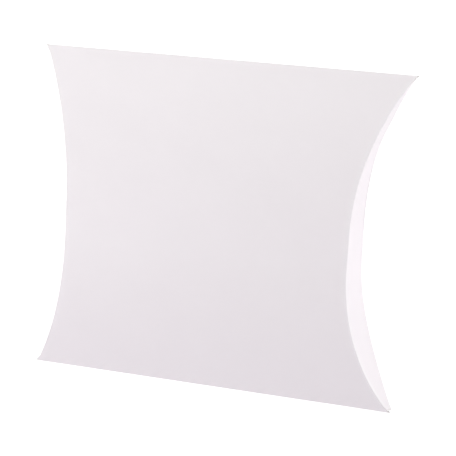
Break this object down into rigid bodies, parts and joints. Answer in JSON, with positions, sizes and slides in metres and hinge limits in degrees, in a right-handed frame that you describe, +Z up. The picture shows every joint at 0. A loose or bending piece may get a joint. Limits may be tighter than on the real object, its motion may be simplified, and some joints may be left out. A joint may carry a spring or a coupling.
{
  "type": "pillow box",
  "caption": "Closed white card pillow box with curved end creases, lying flat; end flaps open on their creases",
  "frame": {"origin": "on the surface that the box lies on, under the middle of the box", "axes": "+X from end to end, +Y across the two side folds away from the glued seam, +Z up through the front panel"},
  "size_m": [0.091, 0.08, 0.022],
  "materials": {
    "card": "matte",
    "glue": "satin"
  },
  "bodies": {
    "sleeve": {"front_panel": "card", "back_panel": "card", "glue_flap": "card", "seam_glue": "glue"},
    "right_outer_flap": {"right_outer_flap": "card"},
    "right_inner_flap": {"right_inner_flap": "card"},
    "left_outer_flap": {"left_outer_flap": "card"},
    "left_inner_flap": {"left_inner_flap": "card"}
  },
  "joints": [
    {"name": "right_outer_crease", "type": "hinge", "parent": "sleeve", "child": "right_outer_flap", "pos_m": [0.0345, 0, 0.022], "axis": [0, -1, 0], "range_deg": [0, 110]},
    {"name": "right_inner_crease", "type": "hinge", "parent": "sleeve", "child": "right_inner_flap", "pos_m": [0.0338, 0, 0], "axis": [0, 1, 0], "range_deg": [0, 55]},
    {"name": "left_outer_crease", "type": "hinge", "parent": "sleeve", "child": "left_outer_flap", "pos_m": [-0.0345, 0, 0.022], "axis": [0, 1, 0], "range_deg": [0, 110]},
    {"name": "left_inner_crease", "type": "hinge", "parent": "sleeve", "child": "left_inner_flap", "pos_m": [-0.0338, 0, 0], "axis": [0, -1, 0], "range_deg": [0, 55]}
  ],
  "couplings": [
    {"joint": "right_inner_crease", "follows": "right_outer_crease", "ratio": 0.5},
    {"joint": "left_inner_crease", "follows": "left_outer_crease", "ratio": 0.5}
  ]
}
